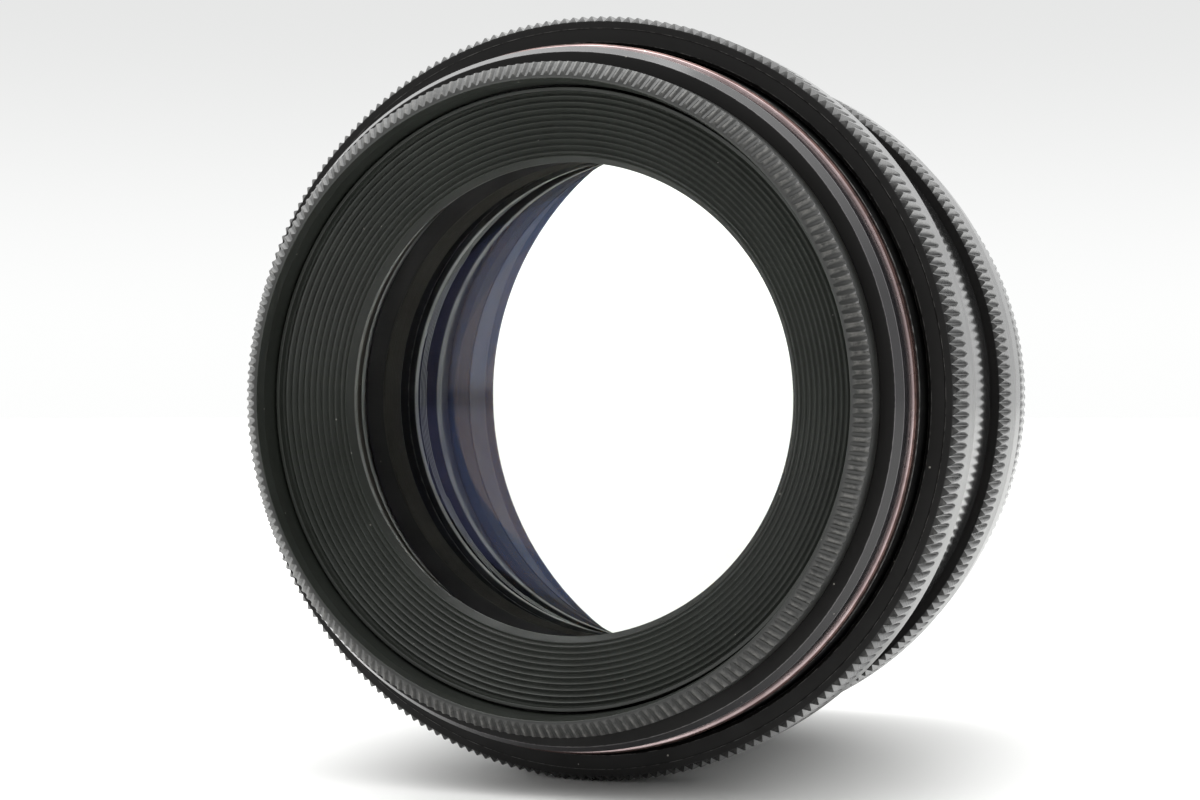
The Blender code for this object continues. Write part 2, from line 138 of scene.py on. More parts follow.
def closed_object(name, shape, mesh, material, sharp=SHARP):
    """Turn a bmesh into an object with its faces outwards."""
    bmesh.ops.recalc_face_normals(shape, faces=shape.faces)
    shape.to_mesh(mesh)
    shape.free()
    smooth_below(mesh, sharp)
    mesh.materials.append(material)
    obj = bpy.data.objects.new(name, mesh)
    bpy.context.scene.collection.objects.link(obj)
    return obj


def object_from(name, shape, material):
    return closed_object(name, shape, bpy.data.meshes.new(name), material)


def eased(points, radius=0.1, closed=True):
    """Round each corner of an outline by its easing, or by radius, and hold the flats flat beside it.

    Returns (radius, depth, edge), where edge is 1 on a corner that stands proud.
    """
    nearly_straight = math.radians(86.0)
    most_of_a_side = 0.38
    out = []
    count = len(points)
    area = sum(points[i][0] * points[(i + 1) % count][1] - points[(i + 1) % count][0] * points[i][1]
               for i in range(count))
    for i, point in enumerate(points):
        here = np.array(point[:2], float)
        ease = point[2] if len(point) > 2 else radius
        if (not closed and i in (0, count - 1)) or ease <= 0.0:
            out.append((here[0], here[1], 0.0))
            continue
        before = np.array(points[i - 1][:2], float) - here
        after = np.array(points[(i + 1) % count][:2], float) - here
        length_before, length_after = np.linalg.norm(before), np.linalg.norm(after)
        before, after = before / length_before, after / length_after
        half = math.acos(float(np.clip(before @ after, -1.0, 1.0))) / 2.0
        if half > nearly_straight:
            out.append((here[0], here[1], 0.0))
            continue
        turn = after[0] * before[1] - after[1] * before[0]
        proud = 1.0 if turn * area > 0.0 else 0.0
        cut = min(ease / math.tan(half), most_of_a_side * length_before, most_of_a_side * length_after)
        fillet = cut * math.tan(half)
        middle = (before + after) / np.linalg.norm(before + after)
        centre = here + middle * (fillet / math.sin(half))
        start, end = here + before * cut, here + after * cut
        if length_before - cut > 3.0 * HOLD:
            out.append((*(here + before * (cut + HOLD)), 0.0))
        a, b = start - centre, end - centre
        spread = math.pi - 2.0 * half
        for k in range(FILLET_STEPS + 1):
            t = k / FILLET_STEPS
            w = (math.sin((1 - t) * spread) * a + math.sin(t * spread) * b) / math.sin(spread)
            out.append((*(centre + w), proud))
        if length_after - cut > 3.0 * HOLD:
            out.append((*(here + after * (cut + HOLD)), 0.0))
    return [(float(r), float(d), e) for r, d, e in out]


def tooth_turns(teeth, crest_share, root_share):
    """The angles of every tooth's four corners: root, crest, crest, root."""
    spots = (-0.5 + root_share / 2.0, -crest_share / 2.0, crest_share / 2.0, 0.5 - root_share / 2.0)
    return np.array([(t + s) / teeth for t in range(teeth) for s in spots]) * 2.0 * math.pi


def revolve(name, stations, segments, material, closed=True, sharp=SHARP):
    """Spin stations about the optical axis.

    Each station is (radius, depth[, edge]), or (radius, depth, edge, radius, depth[, crest share]) for
    the crest and the root of a tooth when segments is (teeth, crest share, root share). An open outline
    starts and ends on the axis. The edge value goes into an attribute that the materials read.
    """
    if isinstance(segments, tuple):
        teeth, crest_share, root_share = segments
        turns = tooth_turns(teeth, crest_share, root_share)
        crest = np.array([0.0, 1.0, 1.0, 0.0] * teeth)
    else:
        turns = np.arange(segments) / segments * 2.0 * math.pi
        crest = np.ones(segments)
    around, along = len(turns), len(stations)
    verts, edges, rows = [], [], []
    first = 0
    for station in stations:
        high = station[:2]
        toothed = len(station) > 3
        low = station[3:5] if toothed else high
        edge = station[2] if len(station) > 2 else 0.0
        r = (low[0] + (high[0] - low[0]) * crest) * MM
        d = (low[1] + (high[1] - low[1]) * crest) * MM
        spread = tooth_turns(teeth, station[5], root_share) if len(station) > 5 else turns
        ring = np.stack([r * np.cos(spread), FRONT + d, r * np.sin(spread)], axis=1)
        if high[0] < 1e-6:
            verts.append(ring[:1])
            edges.append(np.zeros(1))
            rows.append([first] * around)
        else:
            verts.append(ring)
            edges.append(crest * edge if toothed else np.full(around, edge))
            rows.append(list(range(first, first + around)))
        first += len(verts[-1])
    faces = []
    for i in range(along if closed else along - 1):
        upper, lower = rows[i], rows[(i + 1) % along]
        for k in range(around):
            q = (k + 1) % around
            corners = tuple(dict.fromkeys((upper[k], upper[q], lower[q], lower[k])))
            if len(corners) > 2:
                faces.append(corners)
    mesh = bpy.data.meshes.new(name)
    mesh.from_pydata(np.concatenate(verts).tolist(), [], faces)
    attribute = mesh.attributes.new("edge", "FLOAT", "POINT")
    attribute.data.foreach_set("value", np.concatenate(edges))
    shape = bmesh.new()
    shape.from_mesh(mesh)
    return closed_object(name, shape, mesh, material, sharp)


def prism(shape, outline, front, rear, turn):
    """Add a flat plate with the given outline, turned about the axis, to a bmesh."""
    c, s = math.cos(turn), math.sin(turn)
    loops = []
    for depth in (front, rear):
        places = [((x * c - y * s) * MM, FRONT + depth * MM, (x * s + y * c) * MM) for x, y in outline]
        loops.append([shape.verts.new(place) for place in places])
    shape.faces.new(loops[0])
    shape.faces.new(loops[1][::-1])
    n = len(outline)
    for i in range(n):
        j = (i + 1) % n
        shape.faces.new((loops[0][j], loops[0][i], loops[1][i], loops[1][j]))


def radial_bar(shape, radius, inner, outer, angle, depth, steps=24):
    """Add a round bar that points away from the axis to a bmesh."""
    middle = (inner + outer) / 2.0 * MM
    place = Vector((middle * math.cos(angle), FRONT + depth * MM, middle * math.sin(angle)))
    outward = Vector((math.cos(angle), 0.0, math.sin(angle)))
    matrix = Matrix.Translation(place) @ outward.to_track_quat("Z", "Y").to_matrix().to_4x4()
    bmesh.ops.create_cone(
        shape, cap_ends=True, segments=steps, radius1=radius * MM, radius2=radius * MM,
        depth=(outer - inner) * MM, matrix=matrix)


def cut_with(obj, cutter, operation="DIFFERENCE"):
    """Apply a Boolean and drop the cutter."""
    bpy.context.view_layer.update()
    cut = obj.modifiers.new("cut", "BOOLEAN")
    cut.operation = operation
    cut.solver = "EXACT"
    cut.object = cutter
    evaluated = obj.evaluated_get(bpy.context.evaluated_depsgraph_get())
    mesh = bpy.data.meshes.new_from_object(evaluated)
    obj.modifiers.remove(cut)
    obj.data = mesh
    smooth_below(mesh, SHARP)
    bpy.data.objects.remove(cutter, do_unlink=True)


def box_cutter(size):
    """A box at the origin for cut_with, with its size in mm."""
    bpy.ops.mesh.primitive_cube_add(size=1.0)
    cutter = bpy.context.object
    cutter.scale = [side * MM for side in size]
    return cutter


def stands_for(piece, slot, *nodes):
    """Put a piece in the place of CAD nodes that are all on one body."""
    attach(piece, body_of(nodes[0]))
    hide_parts(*nodes)


def surface(vertex, curvature_radius, rim, steps):
    """A spherical surface from its vertex on the axis out to its rim."""
    points = []
    for i in range(steps + 1):
        r = rim * i / steps
        sag = abs(curvature_radius) - math.sqrt(curvature_radius ** 2 - r * r)
        points.append((r, vertex + math.copysign(sag, curvature_radius)))
    return points


def mirrored(outline):
    """The outline of the matching part in the rear half."""
    return [(p[0], 2.0 * STOP_DEPTH - p[1]) for p in reversed(outline)]


def arc(cx, cy, radius, start, end, steps):
    """Points from one angle to another on a circle."""
    turns = [start + (end - start) * i / steps for i in range(steps + 1)]
    return [(cx + radius * math.cos(t), cy + radius * math.sin(t)) for t in turns]


# ---------------------------------------------------------------- materials

DUST_COLOUR = (0.42, 0.40, 0.36)
TARNISH = 0.7                       # how bright bare metal is where it has tarnished


class Nodes:
    """A thin helper round one material's node tree."""

    def __init__(self, name):
        self.material = bpy.data.materials.new(name)
        self.material.use_nodes = True
        self.tree = self.material.node_tree
        self.shader = self.tree.nodes["Principled BSDF"]

    def add(self, kind, **settings):
        node = self.tree.nodes.new(kind)
        for key, value in settings.items():
            setattr(node, key, value)
        return node

    def link(self, source, target):
        self.tree.links.new(source, target)

    def math(self, operation, a, b=None, clamp=False):
        node = self.add("ShaderNodeMath", operation=operation, use_clamp=clamp)
        for i, value in enumerate((a, b)):
            if value is None:
                continue
            if isinstance(value, (int, float)):
                node.inputs[i].default_value = value
            else:
                self.link(value, node.inputs[i])
        return node.outputs[0]

    def mix_colour(self, factor, a, b):
        node = self.add("ShaderNodeMix", data_type="RGBA")
        for socket, value in ((node.inputs[0], factor), (node.inputs[6], a), (node.inputs[7], b)):
            if isinstance(value, tuple):
                socket.default_value = (*value, 1.0)
            else:
                self.link(value, socket)
        return node.outputs[2]

    def ramp(self, value, low, high, to_low=0.0, to_high=1.0):
        node = self.add("ShaderNodeMapRange")
        self.link(value, node.inputs[0])
        for i, number in enumerate((low, high, to_low, to_high)):
            node.inputs[i + 1].default_value = number
        return node.outputs[0]

    def position(self):
        return self.add("ShaderNodeTexCoord").outputs["Object"]

    def turned(self):
        """The shaded point's distance from the optical axis, and a length that grows along any outline.

        Noise of the second has the same value all the way round, so it makes the marks of a lathe tool.
        """
        split = self.add("ShaderNodeSeparateXYZ")
        self.link(self.position(), split.inputs[0])
        x, y, z = split.outputs
        square = self.math("ADD", self.math("MULTIPLY", x, x), self.math("MULTIPLY", z, z))
        radius = self.math("SQRT", square)
        return radius, self.math("ADD", radius, self.math("MULTIPLY", y, 1.37))

    def noise(self, scale, detail, roughness, w=None):
        node = self.add("ShaderNodeTexNoise", noise_dimensions="1D" if w is not None else "3D")
        node.inputs["Scale"].default_value = scale
        node.inputs["Detail"].default_value = detail
        node.inputs["Roughness"].default_value = roughness
        if w is not None:
            self.link(w, node.inputs["W"])
        else:
            self.link(self.position(), node.inputs["Vector"])
        return node.outputs[0]

    def specks(self, scale, size):
        """1 on small dots in about a quarter of the cells."""
        node = self.add("ShaderNodeTexVoronoi", feature="F1")
        node.inputs["Scale"].default_value = scale
        self.link(self.position(), node.inputs["Vector"])
        dot = self.math("LESS_THAN", node.outputs["Distance"], size)
        pick = self.add("ShaderNodeSeparateColor")
        self.link(node.outputs["Color"], pick.inputs[0])
        chosen = self.math("GREATER_THAN", pick.outputs[0], 0.72)
        return self.math("MULTIPLY", dot, chosen)

    def bump(self, height, distance, strength, normal=None):
        node = self.add("ShaderNodeBump")
        node.inputs["Strength"].default_value = strength
        node.inputs["Distance"].default_value = distance
        self.link(height, node.inputs["Height"])
        if normal is not None:
            self.link(normal, node.inputs["Normal"])
        return node.outputs[0]


def shade(colour, factor):
    return tuple(part * factor for part in colour)


def anodised(name, colour, roughness, worn_and_highlight=(0.55, 0.54, 0.52), turning=0.000002, grain=0.0000012,
             ior=1.55, wear_and_highlight=0.5, dust=0.35, spread=0.07, ragged=(0.42, 0.62)):
    """Dyed, turned aluminium: fine circular tool marks, a soft grain, proud edges lightened partly as rubbed
    wear and partly as a painted highlight, and a little dust.

    turning and grain are the heights of the tool marks and the grain, in metres. spread is how far the
    roughness varies, and ragged is the range of noise over which a lightened edge, rubbed wear and painted
    highlight, comes and goes.
    """
    n = Nodes(name)
    lathe = n.turned()[1]
    marks = n.noise(9000.0, 4.0, 0.7, w=lathe)
    coarse = n.noise(1500.0, 2.0, 0.5, w=lathe)
    grain_value = n.noise(5200.0, 2.0, 0.6)
    cloud = n.noise(90.0, 4.0, 0.6)
    tint = n.mix_colour(n.ramp(cloud, 0.3, 0.7), shade(colour, 0.82), shade(colour, 1.2))
    tint = n.mix_colour(n.math("MULTIPLY", n.ramp(marks, 0.35, 0.75), 0.25), tint, shade(colour, 1.7))
    # Proud edges go towards a lighter colour: partly rubbed wear, partly a painted highlight along the edges.
    edge = n.add("ShaderNodeAttribute", attribute_name="edge").outputs["Fac"]
    patchy = n.ramp(n.noise(1300.0, 5.0, 0.7), *ragged)
    rubbed_and_highlit = n.math("MULTIPLY", n.math("MULTIPLY", edge, patchy), wear_and_highlight, clamp=True)
    tint = n.mix_colour(rubbed_and_highlit, tint, worn_and_highlight)
    dots = n.math("MULTIPLY", n.specks(520.0, 0.05), dust)
    tint = n.mix_colour(dots, tint, DUST_COLOUR)
    n.link(tint, n.shader.inputs["Base Color"])
    smear = n.ramp(n.noise(240.0, 3.0, 0.6), 0.3, 0.7, roughness - spread, roughness + spread)
    rough = n.math("ADD", smear, n.math("MULTIPLY", n.math("SUBTRACT", coarse, 0.5), 0.10), clamp=True)
    n.link(rough, n.shader.inputs["Roughness"])
    first = n.bump(marks, turning, 0.9)
    n.link(n.bump(grain_value, grain, 0.8, first), n.shader.inputs["Normal"])
    n.shader.inputs["IOR"].default_value = ior
    return n.material


def bare_metal(name, colour, roughness, turning=0.000002):
    """Uncoated metal with turned or rolled marks and slight tarnish."""
    n = Nodes(name)
    marks = n.noise(7000.0, 4.0, 0.7, w=n.turned()[1])
    cloud = n.noise(260.0, 4.0, 0.6)
    dark = shade(colour, TARNISH)
    n.link(n.mix_colour(n.ramp(cloud, 0.3, 0.7), dark, colour), n.shader.inputs["Base Color"])
    n.link(n.ramp(cloud, 0.3, 0.75, roughness + 0.1, roughness), n.shader.inputs["Roughness"])
    n.link(n.bump(marks, turning, 0.9), n.shader.inputs["Normal"])
    n.shader.inputs["Metallic"].default_value = 1.0
    return n.material


def copper_edge():
    """The thin coloured ring: bright pink metal on its bevel, and brown, chipped anodising behind it."""
    n = Nodes("faded_copper")
    radius, lathe = n.turned()
    marks = n.noise(8000.0, 3.0, 0.7, w=lathe)
    cloud = n.noise(170.0, 4.0, 0.65)
    chips = n.ramp(n.noise(620.0, 6.0, 0.75), 0.50, 0.60)
    bevel = n.ramp(radius, BEVEL_R * MM, (BEVEL_R + BEVEL_FADE) * MM, 1.0, 0.0)
    brown = n.mix_colour(n.ramp(cloud, 0.32, 0.68), (0.055, 0.030, 0.026), (0.15, 0.085, 0.075))
    pink = n.mix_colour(n.ramp(cloud, 0.32, 0.68), (0.38, 0.28, 0.28), (0.60, 0.48, 0.48))
    tint = n.mix_colour(n.math("MULTIPLY", chips, 0.7), brown, (0.025, 0.018, 0.017))
    tint = n.mix_colour(bevel, tint, pink)
    tint = n.mix_colour(n.math("MULTIPLY", n.specks(700.0, 0.08), 0.6), tint, (0.60, 0.56, 0.52))
    n.link(tint, n.shader.inputs["Base Color"])
    n.link(n.ramp(cloud, 0.3, 0.7, 0.34, 0.22), n.shader.inputs["Roughness"])
    n.link(n.bump(marks, 0.0000015, 0.8), n.shader.inputs["Normal"])
    n.shader.inputs["Metallic"].default_value = 0.85
    return n.material


def lens_glass(name, ior, film):
    """Polished glass with a single-layer coating and the faintest haze of dust."""
    n = Nodes(name)
    haze = n.noise(300.0, 4.0, 0.65)
    n.link(n.ramp(haze, 0.35, 0.8, 0.0, 0.012), n.shader.inputs["Roughness"])
    n.shader.inputs["Base Color"].default_value = (0.99, 0.995, 0.985, 1.0)
    n.shader.inputs["Transmission Weight"].default_value = 1.0
    n.shader.inputs["IOR"].default_value = ior
    n.shader.inputs["Thin Film Thickness"].default_value = film
    n.shader.inputs["Thin Film IOR"].default_value = 1.38
    return n.material


GRIP = anodised("grip_anodising", (0.014, 0.014, 0.014), 0.30, wear_and_highlight=0.25, spread=0.03, turning=0.0000004,
                grain=0.0000004, ior=2.05, worn_and_highlight=(0.30, 0.29, 0.28))
SLEEVE = anodised("sleeve_anodising", (0.012, 0.012, 0.012), 0.11, wear_and_highlight=0.45, spread=0.02, turning=0.0000003,
                  grain=0.0000003, ior=1.9, worn_and_highlight=(0.40, 0.39, 0.38))
FACE = anodised("face_anodising", (0.0055, 0.005, 0.0048), 0.44, wear_and_highlight=0.2, dust=0.6, turning=0.0000015,
                ior=1.28)
TOOTH_END = anodised("tooth_end_anodising", (0.006, 0.006, 0.006), 0.30, wear_and_highlight=0.2, turning=0.0000005,
                     ior=1.36)
# The lighter colour on the bezel's tooth crests is partly wear and partly a painted highlight.
BEZEL = anodised("bezel_anodising", (0.011, 0.0115, 0.0105), 0.36, wear_and_highlight=0.5, worn_and_highlight=(0.17, 0.165, 0.155),
                 ragged=(0.35, 0.6))
BAFFLE = anodised("baffle_black", (0.018, 0.0205, 0.017), 0.45, wear_and_highlight=0.0, dust=0.5, grain=0.000002)
# The step's lighter, nearly unbroken front edge is a painted highlight, with a little wear in it.
STEP = anodised("step_anodising", (0.010, 0.009, 0.0105), 0.17, wear_and_highlight=0.55, spread=0.03, turning=0.0000006,
                grain=0.0000004, ior=1.50, worn_and_highlight=(0.20, 0.19, 0.20), ragged=(0.20, 0.45))
BLACK = anodised("barrel_black", (0.005, 0.005, 0.005), 0.40, wear_and_highlight=0.2, dust=0.5, ior=1.4)
CELL = anodised("cell_black", (0.085, 0.080, 0.070), 0.62, wear_and_highlight=0.1, ior=1.28)
RETAINER = anodised("retainer_anodising", (0.05, 0.05, 0.05), 0.45, wear_and_highlight=0.3, ior=1.4)
PLATE = bare_metal("plate_metal", (0.11, 0.11, 0.11), 0.45)
BLADE = bare_metal("blade_steel", (0.05, 0.05, 0.054), 0.40, turning=0.0000005)
COPPER = copper_edge()
BRASS = bare_metal("spring_brass", (0.66, 0.50, 0.22), 0.28)
STEEL = bare_metal("plain_steel", (0.50, 0.50, 0.51), 0.25)
EDGE_PAINT = anodised("edge_paint", (0.010, 0.008, 0.008), 0.5, wear_and_highlight=0.0, dust=0.2, turning=0.000001)
CROWN_GLASS = lens_glass("crown_glass", 1.62, 119.0)
MENISCUS_GLASS = lens_glass("meniscus_glass", 1.58, 121.0)


# ---------------------------------------------------------------- outer rings

def fine_grooves(radius, start, end, height):
    """Fine V grooves round a bore, which keep stray light down. They run from one depth to the other."""
    count = int(abs(end - start) / 0.36)
    pitch = (end - start) / count
    points = [(radius, start, 0.03)]
    for i in range(count):
        points.append((radius + height, start + pitch * (i + 0.5), 0.02))
        points.append((radius, start + pitch * (i + 1), 0.02))
    return points


def knurl_stations(crest, root, front, run_out, rear):
    """A straight V knurl: chamfered teeth at the front, and grooves that run out into a plain land.

    crest and root are radii. The grooves have gone by the depth run_out, and the land ends at rear.
    """
    full_depth = 0.40               # the share of a groove before it starts to rise
    thinnest = 0.12                 # a groove that runs out keeps this share of its width
    slope = 1.0 - TOOTH_ROOT - TOOTH_CREST
    # The third number of a row lightens that edge in the material: partly rubbed wear, partly a painted
    # highlight, as on the crest chamfers and the bright rear chamfer.
    rows = [
        (root - 0.06, front, 0.0),
        (root + 0.02, front, 0.2, root - 0.01, front + 0.01),
        (crest - 0.03, front + 0.45, 0.7, root, front + 0.08),
        (crest, front + 0.52, 0.2, root, front + 0.20),
    ]
    for share in (full_depth, 0.60, 0.75, 0.87, 0.95, 1.0):
        left = math.sqrt(max(0.0, 1.0 - ((share - full_depth) / (1.0 - full_depth)) ** 2))
        depth = front + (run_out - front) * share
        rows.append((crest, depth, 0.0, crest - (crest - root) * left, depth,
                     1.0 - TOOTH_ROOT - slope * max(left, thinnest)))
    rows += [
        (crest, rear - 0.16, 0.1),
        (crest - 0.05, rear - 0.05, 0.6),
        (crest - 0.16, rear, 0.1),
        (root - 0.2, rear, 0.0),
    ]
    return rows


def paint(ring, materials, choose):
    """Add materials, and give each face the slot that choose(radius, depth) returns."""
    for material in materials:
        ring.data.materials.append(material)
    slots = []
    for polygon in ring.data.polygons:
        centre = polygon.center
        slots.append(choose(math.hypot(centre.x, centre.z) / MM, (centre.y - FRONT) / MM))
    ring.data.polygons.foreach_set("material_index", slots)


def aperture_ring():
    """Plain face, knurl, then a glossy sleeve that runs back to the second ring."""
    front = eased(
        [(36.30, 20.0), (35.96, 20.0, 0.0), (35.96, 11.55, 0.05), (36.30, 11.24, 0.05), (37.60, 11.24, 0.05),
         (37.72, 11.20, 0.05), (38.40, 11.20)], closed=False)[1:-1]
    rear = eased(
        [(38.10, 18.85), (36.60, 18.85, 0.12), (36.60, 37.50, 0.10), (35.96, 37.50, 0.06), (35.96, 20.0)],
        closed=False)[1:]
    stations = front + knurl_stations(39.0, 38.42, 11.2, 15.9, 18.85) + rear
    ring = revolve("aperture_ring_grip", stations, (GRIP_TEETH, TOOTH_CREST, TOOTH_ROOT), GRIP)

    def section(radius, depth):
        if radius < 36.0 or (radius < 38.38 and depth < 11.6):
            return FACE_SLOT
        if depth > 18.9:
            return SLEEVE_SLOT
        return END_SLOT if depth < 11.43 else GRIP_SLOT

    paint(ring, (FACE, SLEEVE, TOOTH_END), section)
    holes = bmesh.new()
    for angle in SCREW_ANGLES:
        radial_bar(holes, SCREW_HOLE_R, 35.0, 38.0, angle, SCREW_DEPTH)
    cut_with(ring, object_from("holes", holes, FACE))
    stands_for(ring, "grip_metal", "aperture_ring")


def mount_grip_ring():
    """Second knurl with a plain land behind it, then a smaller sleeve."""
    front = eased(
        [(33.3, 50.0), (33.3, 42.3, 0.05), (35.96, 42.3, 0.05), (35.96, 38.1, 0.05), (36.15, 37.9, 0.04),
         (37.2, 37.9)], closed=False)[:-1]
    rear = eased(
        [(37.38, 44.9), (37.4, 44.9, 0.0), (37.4, 50.0, 0.15), (35.4, 50.0, 0.1), (35.4, 58.1, 0.12),
         (33.3, 58.1, 0.06), (33.3, 50.0)], closed=False)[1:-1]
    stations = front + knurl_stations(37.95, 37.45, 37.9, 42.0, 44.9)[:-2] + rear
    ring = revolve("mount_grip_ring_body", stations, (MOUNT_TEETH, TOOTH_CREST, TOOTH_ROOT), GRIP)

    def section(radius, depth):
        if radius < 35.3 or (radius < 37.41 and depth < 38.2):
            return FACE_SLOT
        if depth > 44.95:
            return SLEEVE_SLOT
        return END_SLOT if depth < 38.13 else GRIP_SLOT

    paint(ring, (FACE, SLEEVE, TOOTH_END), section)
    stands_for(ring, "grip_metal", "mount_grip_ring")


def rear_flange_ring():
    """Flat ring that seats on the lens board, with fine teeth round its edge."""
    stations = eased([(33.0, 61.2), (31.3, 61.2, 0.15), (31.3, 58.4, 0.15), (34.9, 58.4)], closed=False)[1:-1]
    stations += [
        (34.9, 58.4),
        (35.5, 58.4),
        (35.72, 58.45, 0.2, 35.62, 58.5),
        (35.8, 58.6, 0.2, 35.68, 58.65),
        (35.8, 61.0, 0.2, 35.68, 60.95),
        (35.7, 61.15, 0.4, 35.62, 61.1),
        (35.5, 61.2),
        (34.9, 61.2),
        (33.0, 61.2),
    ]
    ring = revolve("rear_flange_ring_body", stations, (FLANGE_TEETH, 0.4, 0.2), SLEEVE)
    stands_for(ring, "grip_metal", "rear_flange_ring")


def front_bezel():
    """V cuts across the front chamfer, running out into the plain land."""
    stations = eased(
        [(33.07, 3.0), (33.07, 4.2, 0.14), (31.1, 4.2, 0.1), (31.1, 1.2, 0.1), (31.3, 0.05, 0.08),
         (31.5, 0.0)], closed=False)[1:-1]
    stations += [
        (31.50, 0.0, 0.0, 31.45, 0.0),
        (31.90, 0.0, 0.6, 31.58, 0.0),
        (31.97, 0.03, 1.0, 31.62, 0.03),
        (33.03, 1.07, 1.0, 33.05, 1.45),
        (33.07, 1.13, 0.7, 33.07, 1.50),
        (33.07, 1.62, 0.0),
        (33.07, 3.0, 0.0),
    ]
    ring = revolve("front_bezel_ring", stations, (BEZEL_TEETH, 0.20, 0.30), BEZEL)
    paint(ring, (BAFFLE,), lambda radius, depth: int(radius < 31.4 and depth > 0.02))
    stands_for(ring, "bezel_metal", "front_bezel")


def ribbed_baffle():
    """Ten rounded ridges down a funnel, with a sharp lip at the bore."""
    ridges = 10
    outer_r, inner_r = 30.0, 24.7
    outer_depth, inner_depth = 3.95, 5.92
    ridge_height = 0.17
    pitch = (outer_r - inner_r) / (ridges - 1)
    outline = [(30.8, 6.0), (30.8, 3.2, 0.05), (30.46, 3.2, 0.04), (30.42, 3.95, 0.05)]
    for i in range(ridges):
        down = i / (ridges - 1)
        radius = outer_r + (inner_r - outer_r) * down
        depth = outer_depth + (inner_depth - outer_depth) * down
        for share in np.linspace(-0.5, 0.5, 9)[:-1]:
            height = ridge_height * math.cos(2.0 * math.pi * share)
            outline.append((radius - share * pitch, depth + share * 0.22 - height + 0.14, 0.0))
    outline += [(24.28, 6.14, 0.03), (23.75, 7.05, 0.03), (23.76, 7.2, 0.02), (24.4, 9.0, 0.05),
                (30.8, 9.0, 0.05)]
    ring = revolve("ribbed_baffle_cone", eased(outline), ROUND, BAFFLE, sharp=50.0)
    stands_for(ring, "baffle_black", "ribbed_baffle")


def front_cell_housing():
    """Polished step in front, then the dark cell that holds the front glass."""
    outline = [
        (33.3, 4.45), (34.45, 4.45, 0.08), (35.08, 5.5, 0.1), (35.25, 7.3, 0.1), (32.9, 7.3), (32.9, 9.2),
        (34.1, 9.2), (34.1, 13.5), (27.6, 13.5), (27.6, 31.2), (25.6, 31.2), (25.6, 27.3), (23.9, 27.3),
        (23.9, 26.0),
        *fine_grooves(22.9, 26.0, 22.35, 0.14), (25.3, 22.35), (25.3, 9.3), (31.1, 9.3), (31.1, 4.45),
    ]
    ring = revolve("front_cell_barrel", eased(outline, 0.08), ROUND, STEP)

    def section(radius, depth):
        if radius < 31.0 or depth > 7.4:
            return 1
        return 2 if depth < 4.46 else 0

    paint(ring, (CELL, FACE), section)
    stands_for(ring, "satin_metal", "front_cell_housing")


def copper_trim_ring():
    """Thin coloured ring with a bevel at its front edge."""
    outline = [(35.45, 7.6, 0.05), (BARREL_R, 7.80, 0.08), (BARREL_R, 8.9, 0.05), (33.2, 8.9, 0.05),
               (33.2, 7.6, 0.05)]
    ring = revolve("copper_trim", eased(outline), ROUND, COPPER)
    stands_for(ring, "copper_trim", "copper_trim_ring")


def main_barrel():
    """Plain barrel. Round grooves behind the flange stand for the thread of the lens board's nut."""
    thread_r, groove_r = 31.0, 30.6
    pitch, first, last = 0.75, 61.45, 65.6
    outline = [(33.0, 42.0), (33.0, 58.1), (thread_r, 58.1, 0.05), (thread_r, 61.3, 0.0)]
    depth = first
    while depth + pitch <= last:
        for radius, share in ((thread_r, 0.0), (groove_r, 0.40), (groove_r, 0.52), (thread_r, 0.92)):
            outline.append((radius, depth + pitch * share, 0.0))
        depth += pitch
    outline += [(thread_r, 65.7, 0.15), (30.7, 66.0, 0.1), (28.6, 66.0), (28.6, 39.75), (34.4, 39.75),
                (34.4, 9.2), (BARREL_R, 9.2, 0.15), (BARREL_R, 42.0)]
    barrel = revolve("main_barrel_tube", eased(outline), ROUND, BLACK)
    cutters = bmesh.new()
    half = SCREW_R + SCREW_GAP
    margin = math.asin(half / BARREL_R)
    for angle in SCREW_ANGLES:
        start, end = angle - margin, angle + RING_TURN + margin
        window = arc(0.0, 0.0, 36.4, start, end, 40) + arc(0.0, 0.0, 33.8, end, start, 40)
        prism(cutters, window, SCREW_DEPTH - half, SCREW_DEPTH + half, 0.0)
    radial_bar(cutters, DETENT_HOLE_R, 33.5, 36.5, DETENT_ANGLE, DETENT_DEPTH)
    radial_bar(cutters, SPRING_HOLE_R, 33.5, 36.5, SPRING_FIX_ANGLE, DETENT_DEPTH)
    cut_with(barrel, object_from("cutters", cutters, BLACK))
    stands_for(barrel, "barrel_black", "main_barrel")


def rear_cell_housing():
    """Rear cell with light-trap grooves in its mouth."""
    outline = [(28.3, 40.8), (28.3, 66.3), (29.8, 66.3, 0.15), (29.8, 70.0, 0.2), (29.4, 70.6, 0.12),
               (28.4, 70.6, 0.08)]
    depth = 70.4
    for _ in range(6):
        outline += [(28.2, depth, 0.03), (28.4, depth - 0.2, 0.03)]
        depth -= 0.37
    outline += [(28.2, 68.1, 0.03), (28.2, 67.4), (27.0, 66.2), (27.0, 62.9), (25.3, 62.9), (25.3, 49.6),
                *fine_grooves(22.9, 49.6, 46.0, 0.14), (23.9, 46.0), (23.9, 44.7), (25.6, 44.7), (25.6, 40.8)]
    housing = revolve("rear_cell_barrel", eased(outline, 0.08), ROUND, CELL)
    stands_for(housing, "cell_black", "rear_cell_housing")


